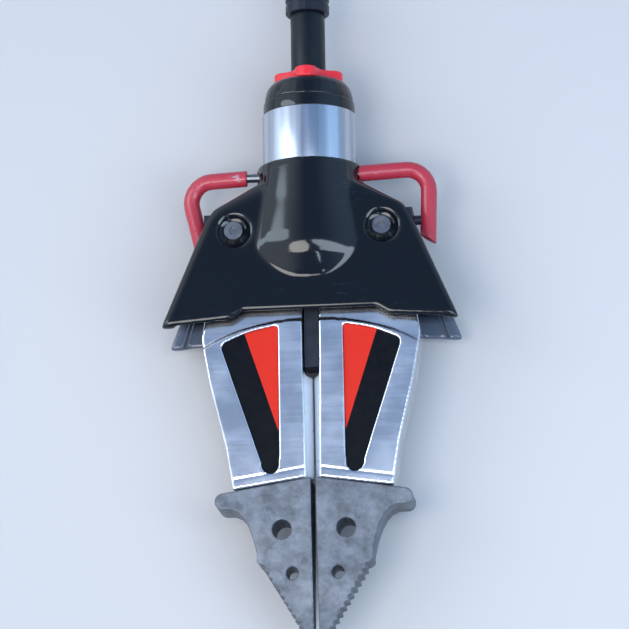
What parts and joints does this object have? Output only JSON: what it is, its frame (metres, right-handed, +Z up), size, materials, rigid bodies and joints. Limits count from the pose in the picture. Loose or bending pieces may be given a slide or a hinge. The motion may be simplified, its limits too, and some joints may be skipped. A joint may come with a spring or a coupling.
{
  "type": "hydraulic rescue spreader",
  "caption": "Long hydraulic spreading tool with a moulded housing, side grips, pivoting arms with toothed steel tips, a cylinder with a star grip and a coupling tail.",
  "frame": {"origin": "bottom centre of the bounding box, arms closed, long axis level", "axes": "+Y along the tool from the tips to the tail, +Z up out of the upper cover, +X to the right seen from above with the tail up"},
  "size_m": [0.3042, 0.7248, 0.111],
  "materials": {
    "black_shell": "glossy black moulding with fine scratches",
    "black_rubber": "matt black rubber",
    "red_paint": "red paint worn to grey where it is held",
    "red_plastic": "red moulded plastic",
    "panel_film": "red and black printed film, bare of marks",
    "bright_aluminium": "bright aluminium with fine handling marks",
    "machined_steel": "machined steel",
    "cast_steel": "rough grey cast steel",
    "dark_steel": "blackened steel",
    "bronze": "bearing bronze"
  },
  "bodies": {
    "housing": {"upper_cover": "black_shell", "lower_cover": "black_shell", "yoke": "dark_steel", "barrel": "bright_aluminium", "gland": "bronze", "rod_seal": "black_rubber", "left_side_grip": "red_paint", "right_side_grip": "red_paint", "left_grip_stud": "machined_steel", "right_grip_stud": "machined_steel", "left_pivot_pin": "machined_steel", "right_pivot_pin": "machined_steel", "left_pivot_bolt": "machined_steel", "right_pivot_bolt": "machined_steel", "left_pivot_nut": "machined_steel", "right_pivot_nut": "machined_steel", "rear_head": "black_shell", "control_neck": "machined_steel", "grip_spring": "machined_steel"},
    "rod": {"piston_rod": "machined_steel", "piston": "bright_aluminium", "piston_seal": "black_rubber", "piston_nut": "machined_steel", "crosshead": "dark_steel", "left_crosshead_pin": "machined_steel", "right_crosshead_pin": "machined_steel"},
    "left_link_body": {"left_link": "machined_steel"},
    "right_link_body": {"right_link": "machined_steel"},
    "left_arm_body": {"left_arm": "bright_aluminium", "left_arm_bush": "bronze", "left_link_pin": "machined_steel", "left_upper_panel": "panel_film", "left_lower_panel": "panel_film", "left_tip": "cast_steel", "left_tip_pin": "machined_steel"},
    "right_arm_body": {"right_arm": "bright_aluminium", "right_arm_bush": "bronze", "right_link_pin": "machined_steel", "right_upper_panel": "panel_film", "right_lower_panel": "panel_film", "right_tip": "cast_steel", "right_tip_pin": "machined_steel"},
    "star": {"star_grip": "red_plastic"},
    "tail": {"tail_tube": "black_rubber", "coupling_sleeve": "dark_steel", "coupling_nipple": "machined_steel"},
    "poppet": {"coupling_poppet": "bronze"}
  },
  "joints": [
    {"name": "right_arm_pivot", "type": "hinge", "parent": "housing", "child": "right_arm_body", "pos_m": [0.076, 0.0696, 0.0555], "axis": [0, 0, 1], "range_deg": [0, 50]},
    {"name": "left_arm_pivot", "type": "hinge", "parent": "housing", "child": "left_arm_body", "pos_m": [-0.076, 0.0696, 0.0555], "axis": [0, 0, 1], "range_deg": [-50, 0]},
    {"name": "rod_slide", "type": "slide", "parent": "housing", "child": "rod", "axis": [0, -1, 0], "range_m": [0, 0.0401]},
    {"name": "right_link_pivot", "type": "hinge", "parent": "rod", "child": "right_link_body", "pos_m": [0.02, 0.1136, 0.0555], "axis": [0, 0, 1], "range_deg": [0, 14.4]},
    {"name": "left_link_pivot", "type": "hinge", "parent": "rod", "child": "left_link_body", "pos_m": [-0.02, 0.1136, 0.0555], "axis": [0, 0, 1], "range_deg": [-14.4, 0]},
    {"name": "star_grip_turn", "type": "hinge", "parent": "housing", "child": "star", "pos_m": [0, 0.24, 0.0555], "axis": [0, 1, 0], "range_deg": [-30, 30], "stiffness_Nm_per_rad": 0.5},
    {"name": "tail_swivel", "type": "hinge", "parent": "housing", "child": "tail", "pos_m": [0, 0.25, 0.0555], "axis": [0, 1, 0], "continuous": true},
    {"name": "poppet_slide", "type": "slide", "parent": "tail", "child": "poppet", "axis": [0, -1, 0], "range_m": [0, 0.004], "stiffness_N_per_m": 800}
  ],
  "couplings": [
    {"joint": "left_arm_pivot", "follows": "right_arm_pivot", "ratio": -1},
    {"joint": "rod_slide", "follows": "right_arm_pivot", "m_per_rad": 0.04584},
    {"joint": "right_link_pivot", "follows": "right_arm_pivot", "ratio": 0.2857},
    {"joint": "left_link_pivot", "follows": "right_arm_pivot", "ratio": -0.2857}
  ]
}
